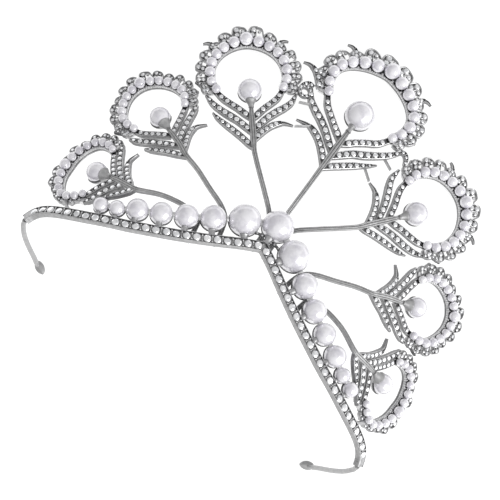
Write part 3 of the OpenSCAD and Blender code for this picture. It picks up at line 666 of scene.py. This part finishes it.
def band():
    metal, gems = Shape(), Shape()
    line = [(-q[0], q[1]) for q in BAND[:0:-1]] + list(BAND)
    # the two halves, each a smooth curve, meet at a sharp peak
    half = smooth([(q[0], q[1], 0) for q in BAND], 0.9)
    rows = [(-q[0], q[1]) for q in half[:0:-1]] + [(q[0], q[1]) for q in half]
    path = [on(s, y, 0) for s, y in rows]
    outs = [out(s) for s, y in rows]
    h, t = BAND_H / 2, BAND_T / 2
    sec = [(-h + 0.25, -t), (h - 0.25, -t), (h, -t + 0.25), (h, t - 0.16), (h - 0.14, t), (h - 0.28, t), (h - 0.38, t - 0.14), (h - 0.40, t - 0.7),
           (-h + 0.40, t - 0.7), (-h + 0.38, t - 0.14), (-h + 0.28, t), (-h + 0.14, t), (-h, t - 0.16), (-h, -t + 0.25)]
    # the top edges keep the plain silver, the side walls take darker copies and the lower side wall the matt one:
    # painted shade on the sides and underside of the band
    sm = [MID, MID, MID, MID, SILVER, DARK, DARK, MID, DARK, DARK, SILVER, MID, MATT_SHADE, MID]
    metal.sweep(path, outs, sec, [(1, 1)] * len(path), sm)
    # box settings: a stone every 3.15 mm of the real length, bars between
    p3 = np.array(path)
    for m in (-1, 1):
        pts = np.array([on(q[0], q[1], 0) for q in half])
        seg = np.linalg.norm(np.diff(pts, axis=0), axis=1)
        run = np.concatenate([[0], np.cumsum(seg)])
        s_at = lambda x: float(np.interp(x, run, [q[0] for q in half]))
        total = run[-1]
        pitch = 3.02
        n = int((total - 2.0) / pitch)
        pitch = (total - 2.4) / n
        for k in range(n + 1):
            x = 1.7 + k * pitch
            for kind, at in (("stone", x), ("bar", x + pitch / 2)):
                if at > total - 2.5:
                    continue
                s = s_at(at)
                y = float(np.interp(s, [q[0] for q in half], [q[1] for q in half]))
                e = 0.05
                o = out(s)
                y2 = float(np.interp(s + e, [q[0] for q in half], [q[1] for q in half]))
                y1 = float(np.interp(s - e if s > e else 0, [q[0] for q in half], [q[1] for q in half]))
                tan = unit(on(s + e, y2, 0) - on(max(s - e, 0), y1, 0))
                up = unit(np.cross(o, tan))
                B = side_of(m) @ basis(tan, up, o, on(s, y, 0))
                if kind == "stone":
                    rad = 1.13
                    tilt = turn("x", 22 * (hash01(k, m) - 0.5)) @ turn("y", 22 * (hash01(k, m, 3) - 0.5)) @ turn("z", 360 * hash01(k, m, 5))
                    gems.gem(B @ shift((0, 0, t - 0.10)) @ tilt @ scaling(rad, rad, rad * 0.85))
                    metal.lathe([(rad * 0.8, t - 0.72), (rad * 1.10, t - 0.72), (rad * 1.09, t - 0.10), (rad * 1.0, t - 0.06)], B, [DARK, MID, MID, DARK], seg=16)
                else:
                    metal.sweep([V(0, -h + 0.46, t - 0.42), V(0, h - 0.46, t - 0.42)], [V(0, 0, 1)] * 2,
                                [(-0.2, -0.3), (0.2, -0.3), (0.2, 0.26), (0.08, 0.42), (-0.08, 0.42), (-0.2, 0.26)], [(1, 1)] * 2, M=B)
                    for g in (-1, 1):
                        metal.ball(B @ shift((0, g * 0.80, t - 0.08)) @ scaling(0.30, 0.30, 0.28), 8, 5)
        # the closed end of the band, a little rounded
        tail = [q for q in half if q[0] > 67.4]
        cap = [(-h + 0.3, -t), (h - 0.3, -t), (h, -t + 0.3), (h, t - 0.5), (h - 0.5, t), (-h + 0.5, t), (-h, t - 0.5), (-h, -t + 0.3)]
        sizes = [(1.0, 1.02)] * (len(tail) - 1) + [(0.80, 0.86)]
        metal.sweep([on(q[0], q[1], 0) for q in tail], [out(q[0]) for q in tail], cap, sizes, MID, M=side_of(m))
        # the short post that ties the last feather to the band
        a, b = on(56.3, band_y(56.3) + 1.3, 0), V(56.6, -20.2, -16.0)
        post = smooth([(*a, 0.95), (*(a * 0.55 + b * 0.45), 0.55), (*b, 0.95)], 0.5)
        metal.sweep(post[:, :3], [out(56)] * len(post), ROUND, [(q, 0.7) for q in post[:, 3]], MID, M=side_of(m))
    # a small arched bracket at the peak, with three beads along it on each side
    for m in (-1, 1):
        metal.sweep(smooth([(m * 0.4, 0.2, 0.3), (m * 1.6, 1.5, 0.5), (m * 3.2, 2.0, 0.5), (m * 4.6, 1.4, 0.4)], 0.4),
                    [V(0, 0, 1)] * 40, ROUND, [(0.42, 0.55)] * 40, DARK)
        for q in ((0.9, 1.0, 0.75), (2.3, 2.0, 0.85), (3.9, 1.8, 0.8)):
            metal.ball(side_of(m) @ shift(q) @ scaling(0.42), 8, 5, MID)
    for i in range(8):
        for m in ((1,) if i == 0 else (-1, 1)):
            cup(metal, i, m)
    # small beads that tie neighbouring pearls together
    for i in range(7):
        for m in (-1, 1):
            a, b = BASE[i], BASE[i + 1]
            pa, pb = on(a[0], a[1], BASE_OUT), on(b[0], b[1], BASE_OUT)
            f = (a[2] / 2) / (a[2] / 2 + b[2] / 2)
            c = pa + (pb - pa) * f
            d = unit(pb - pa)
            o = out((a[0] + b[0]) / 2)
            back = unit(np.cross(d, o))
            B = side_of(m) @ basis(d, back, unit(np.cross(d, back)), c)
            rr = 0.10 * (a[2] + b[2]) / 2 + 0.12
            metal.lathe([(rr * 0.4, -0.3), (rr, -0.3), (rr * 1.1, 0), (rr, 0.3), (rr * 0.4, 0.3)], side_of(m) @ basis(back, o, d, c), SILVER, seg=14)
    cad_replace(metal.build("band_casting", [silver, dark, mid, matt_shade, shade]), "band")
    gems.build("band_stones", [crystal], sharp=0)


def cup(metal, i, m):
    s, y, d = BASE[i]
    rr = d / 2
    lean = 0 if s == 0 else math.degrees(math.atan2(band_y(s - 1) - band_y(s + 1), 2))
    drop = (y - band_y(s)) * math.cos(math.radians(lean))
    foot = drop - BAND_H / 2 + 0.5
    # local z points from the pearl down to the band
    M = side_of(m) @ shift(on(s, y, BASE_OUT)) @ turn("y", ang(s)) @ turn("z", -lean) @ turn("x", 90)
    f = lambda deg, gap: ((rr + gap) * math.sin(math.radians(deg)), (rr + gap) * math.cos(math.radians(deg)))
    gap = foot - rr
    # the outside of the cup takes the darker copy of the silver: painted shade
    metal.lathe([f(3, 0.03), f(9, 0.03), f(15, 0.03), f(16.5, 0.18), (rr * 0.26, rr * 1.0 + 0.16), (0.62 + rr * 0.10, rr + gap * 0.4), (0.60 + rr * 0.08, rr + gap * 0.7), (0.85 + rr * 0.08, foot), (0.2, foot)],
                M, [DARK, DARK, DARK, MID, MID, MID, MID, MID, MID], seg=28)
    dish(metal, M @ turn("x", -90), rr, 0.24)


# ---------------------------------------------------------------- wires
def wire(m, name):
    sh = Shape()
    line = list(WIRE)
    p = smooth(line, 1.0)
    r = 0.8
    k = 14
    sec = [(r * math.cos(2 * math.pi * i / k), r * math.sin(2 * math.pi * i / k)) for i in range(k)]
    n = len(p)
    sc = [(1, 1)] * n
    sc[-1] = (0.9, 0.7)
    sh.sweep(p, [V(0, 1, 0)] * n, sec, sc, M=side_of(m))
    # the leaf: a softly domed blade that lies flat on the table
    sh.M = FLAT
    L, T = LEAF_L, LEAF_T
    rows = smooth([(0, -L / 2, 1.3), (0, -L * 0.34, 2.3), (0, -L * 0.05, 2.9), (0, L * 0.25, 2.3), (0, L * 0.42, 1.2), (0, L / 2, 0.3)], 0.3)
    M = side_of(m) @ shift((LEAF_AT[0], LEAF_AT[1], 0)) @ turn("z", LEAF_TURN)
    sh.ribbon(rows, [(-0.7, 0), (0.7, 0), (1, 0.25), (1, 0.6), (0.6, 0.95), (0.1, 1.2), (-0.1, 1.2), (-0.6, 0.95), (-1, 0.6), (-1, 0.25)], SILVER, M=M)
    side = "left" if m < 0 else "right"
    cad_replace(sh.build(name, [satin]), f"side_wire_{side}")


# ---------------------------------------------------------------- pearls
def pearl_points(d, seg, rings, seed):
    """Nearly a sphere: coated beads are out of round by a hundredth."""
    v, f = ball_mesh(seg, rings)
    g = v.copy()
    k = 1 - 0.004 * (np.sin(3.1 * v[:, 0] + 6.3 * hash01(seed)) * np.sin(2.7 * v[:, 1] + 6.3 * hash01(seed, 2)) + 1)
    return g * k[:, None] * d / 2, f


def pearls():
    for i in range(8):
        for m in ((1,) if i == 0 else (-1, 1)):
            node = 8 + m * i
            sh = Shape()
            s, y, d = BASE[i]
            v, f = pearl_points(d, 56, 32, node)
            T = side_of(m) @ shift(on(s, y, BASE_OUT)) @ turn("y", 70 * hash01(node)) @ turn("x", 90)
            sh.add(v, f, 0, M=T)
            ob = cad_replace(sh.build(f"pearl_band_{node}", [pearl], sharp=0), f"base_pearl_{node}")
    for k, (r, m) in FEATHERS.items():
        M = head_matrix(r, m)
        sh = Shape()
        v, f = pearl_points(HEAD[r][4], 56, 32, 50 + k)
        sh.add(v, f, 0, M=M @ shift((0, 0, 1)) @ turn("x", 90))
        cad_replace(sh.build(f"pearl_drop_{k}", [pearl], sharp=0), f"drop_pearl_{k}")
        sh = Shape()
        for i, q in enumerate(full(r)):
            v, f = pearl_points(q[2], 28, 16, 100 * k + i)
            sh.add(v, f, 0, M=M @ shift((q[0], q[1], 0.8 + rise(q[2]))) @ turn("z", 360 * hash01(k, i)) @ turn("x", 70))
        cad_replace(sh.build(f"pearl_row_{k}", [pearl], sharp=0), f"eye_pearls_{k}")


# ---------------------------------------------------------------- materials
def material(name):
    m = bpy.data.materials.new(name)
    m.use_nodes = True
    nt = m.node_tree
    bsdf = nt.nodes["Principled BSDF"]
    tex = nt.nodes.new("ShaderNodeTexCoord")
    return m, nt, bsdf, tex


def noise(nt, tex, scale, detail=3.0, rough=0.55):
    n = nt.nodes.new("ShaderNodeTexNoise")
    n.inputs["Scale"].default_value = scale
    n.inputs["Detail"].default_value = detail
    n.inputs["Roughness"].default_value = rough
    nt.links.new(tex.outputs["Object"], n.inputs["Vector"])
    return n.outputs["Fac"]


def ramp(nt, fac, stops):
    r = nt.nodes.new("ShaderNodeValToRGB")
    el = r.color_ramp.elements
    while len(el) < len(stops):
        el.new(0.5)
    for e, (p, c) in zip(el, stops):
        e.position = p
        e.color = (*c, 1) if isinstance(c, tuple) else (c, c, c, 1)
    nt.links.new(fac, r.inputs["Fac"])
    return r.outputs["Color"]


def bump(nt, bsdf, height, strength, distance):
    b = nt.nodes.new("ShaderNodeBump")
    b.inputs["Strength"].default_value = strength
    b.inputs["Distance"].default_value = distance
    nt.links.new(height, b.inputs["Height"])
    nt.links.new(b.outputs["Normal"], bsdf.inputs["Normal"])


def metal_material(name, light, deep, rough, scale, bumps):
    m, nt, bsdf, tex = material(name)
    bsdf.inputs["Metallic"].default_value = 1.0
    n1 = noise(nt, tex, scale)
    nt.links.new(ramp(nt, n1, [(0.32, deep), (0.62, light)]), bsdf.inputs["Base Color"])
    n2 = noise(nt, tex, scale * 3.1, 4.0)
    nt.links.new(ramp(nt, n2, [(0.3, rough[0]), (0.7, rough[1])]), bsdf.inputs["Roughness"])
    n3 = noise(nt, tex, bumps[0], 3.0)
    bump(nt, bsdf, n3, bumps[1], bumps[2])
    return m


silver = metal_material("silver_plate", (0.70, 0.70, 0.705), (0.50, 0.50, 0.505), (0.24, 0.40), 700, (2600, 0.30, 0.00006))
# a matt, darker copy of the silver: painted shade on the stems, the cups behind the drop pearls, the lower wall of the
# band and the threads
matt_shade = metal_material("matt_silver_painted_shade", (0.48, 0.48, 0.483), (0.37, 0.37, 0.373), (0.54, 0.64), 900, (2800, 0.35, 0.00006))
shade = metal_material("shaded_silver", (0.32, 0.32, 0.324), (0.22, 0.22, 0.223), (0.44, 0.56), 900, (2800, 0.35, 0.00006))
# a darker copy of the silver on a brushed finish: painted shade on rail shoulders, seats, cups, bars and beads that
# face the light
mid = metal_material("brushed_silver_painted_shade", (0.50, 0.50, 0.505), (0.36, 0.36, 0.365), (0.38, 0.52), 900, (2800, 0.35, 0.00006))
dark = metal_material("oxidised_silver", (0.16, 0.16, 0.163), (0.06, 0.06, 0.062), (0.36, 0.52), 900, (3200, 0.5, 0.00008))
satin = metal_material("satin_wire", (0.46, 0.46, 0.46), (0.40, 0.40, 0.405), (0.42, 0.52), 500, (5200, 0.4, 0.00005))

crystal, nt, bsdf, tex = material("foiled_crystal")
bsdf.inputs["Metallic"].default_value = 0.92
nt.links.new(ramp(nt, noise(nt, tex, 500, 1.0), [(0.35, (0.74, 0.75, 0.77)), (0.6, (0.95, 0.95, 0.96))]), bsdf.inputs["Base Color"])
nt.links.new(ramp(nt, noise(nt, tex, 2500, 2.0), [(0.3, 0.03), (0.7, 0.10)]), bsdf.inputs["Roughness"])
bsdf.inputs["Coat Weight"].default_value = 1.0
bsdf.inputs["Coat Roughness"].default_value = 0.03

pearl, nt, bsdf, tex = material("pearl_coat")
nt.links.new(ramp(nt, noise(nt, tex, 340, 3.0), [(0.36, (0.62, 0.605, 0.66)), (0.58, (0.80, 0.79, 0.825))]), bsdf.inputs["Base Color"])
nt.links.new(ramp(nt, noise(nt, tex, 520, 3.0), [(0.3, 0.14), (0.7, 0.26)]), bsdf.inputs["Roughness"])
bsdf.inputs["Metallic"].default_value = 0.24
bsdf.inputs["IOR"].default_value = 1.6
bsdf.inputs["Coat Weight"].default_value = 1.0
bsdf.inputs["Coat Roughness"].default_value = 0.04
bsdf.inputs["Coat IOR"].default_value = 1.95
bump(nt, bsdf, noise(nt, tex, 380, 2.5), 0.50, 0.00032)

# ---------------------------------------------------------------- build
FEATHERS = {1: (3, -1), 2: (2, -1), 3: (1, -1), 4: (0, 1), 5: (1, 1), 6: (2, 1), 7: (3, 1)}
for k, (r, m) in FEATHERS.items():
    feather(r, m, k)
band()
wire(-1, "wire_left")
wire(1, "wire_right")
pearls()

# ---------------------------------------------------------------- floor, light, camera
fm, nt, bsdf, tex = material("floor_paper")
nt.links.new(ramp(nt, noise(nt, tex, 40, 2.0), [(0.3, 0.44), (0.7, 0.46)]), bsdf.inputs["Base Color"])
bsdf.inputs["Emission Color"].default_value = (1, 1, 1, 1)
bsdf.inputs["Emission Strength"].default_value = 0.76
bsdf.inputs["Roughness"].default_value = 0.8
me = bpy.data.meshes.new("floor")
me.from_pydata([(-3, -3, 0), (3, -3, 0), (3, 3, 0), (-3, 3, 0)], [], [(0, 1, 2, 3)])
me.materials.append(fm)
floor = bpy.data.objects.new("floor", me)
bpy.context.scene.collection.objects.link(floor)

# camera: pitch 26 degrees below the tiara's face, 600 mm away, picture turned 36.4 degrees
PITCH, YAW, ROLL, DIST, FOCAL = 26.0, -0.4, 36.4, 600.0, 1920.0
AXIS_PX = (304.8, 190.0)
look = V(0, 28.12, -10)
p, yw = math.radians(PITCH), math.radians(YAW)
d = V(math.sin(yw) * math.cos(p), -math.sin(p), math.cos(yw) * math.cos(p))
right = unit(np.cross(V(0, 1, 0), d))
up = np.cross(d, right)
a = math.radians(ROLL)
img_r = right * math.cos(a) + up * math.sin(a)
img_u = -right * math.sin(a) + up * math.cos(a)
R = turn("x", -REST_TILT)[:3, :3]
C = (PLACE @ np.append(look + DIST * d, 1))[:3]
cam = bpy.data.cameras.new("camera")
cam.sensor_width = 36
cam.lens = FOCAL * 36 / 500
cam.shift_x = (250 - AXIS_PX[0]) / 500
cam.shift_y = (AXIS_PX[1] - 250) / 500
cam.clip_start = 0.01
ob = bpy.data.objects.new("camera", cam)
bpy.context.scene.collection.objects.link(ob)
from mathutils import Matrix, Vector

ob.matrix_world = Matrix(basis(R @ img_r, R @ img_u, R @ d, C).tolist())
bpy.context.scene.camera = ob
world_r, world_u, world_d = R @ img_r, R @ img_u, R @ d


def area(name, where, size, power, shape="RECTANGLE", size_y=None):
    """A softbox at (right, up, towards camera) in the picture's own directions, metres."""
    light = bpy.data.lights.new(name, "AREA")
    light.shape = shape
    light.size = size
    if size_y:
        light.size_y = size_y
    light.energy = power
    o = bpy.data.objects.new(name, light)
    pos = Vector((world_r * where[0] + world_u * where[1] + world_d * where[2]).tolist())
    o.location = pos
    o.rotation_mode = "QUATERNION"
    o.rotation_quaternion = pos.normalized().to_track_quat("Z", "Y")
    bpy.context.scene.collection.objects.link(o)


area("key", (0.72, -0.56, 0.66), 0.80, 7.2, "RECTANGLE", 0.74)
world = bpy.data.worlds.new("studio")
world.use_nodes = True
wt = world.node_tree
bg = wt.nodes["Background"]
wc = wt.nodes.new("ShaderNodeTexCoord")
toward = unit(world_r * 0.70 - world_u * 0.62 + world_d * 0.35)
dot = wt.nodes.new("ShaderNodeVectorMath")
dot.operation = "DOT_PRODUCT"
dot.inputs[1].default_value = tuple(float(q) for q in toward)
wt.links.new(wc.outputs["Generated"], dot.inputs[0])
half = wt.nodes.new("ShaderNodeMath")
half.operation = "MULTIPLY_ADD"
half.inputs[1].default_value = 0.5
half.inputs[2].default_value = 0.5
wt.links.new(dot.outputs["Value"], half.inputs[0])
wt.links.new(ramp(wt, half.outputs["Value"], [(0.10, 0.58), (0.45, 0.69), (0.66, 0.81), (0.95, 0.95)]), bg.inputs["Color"])
bg.inputs["Strength"].default_value = 1.0
bpy.context.scene.world = world
bpy.context.scene.view_settings.view_transform = "Standard"
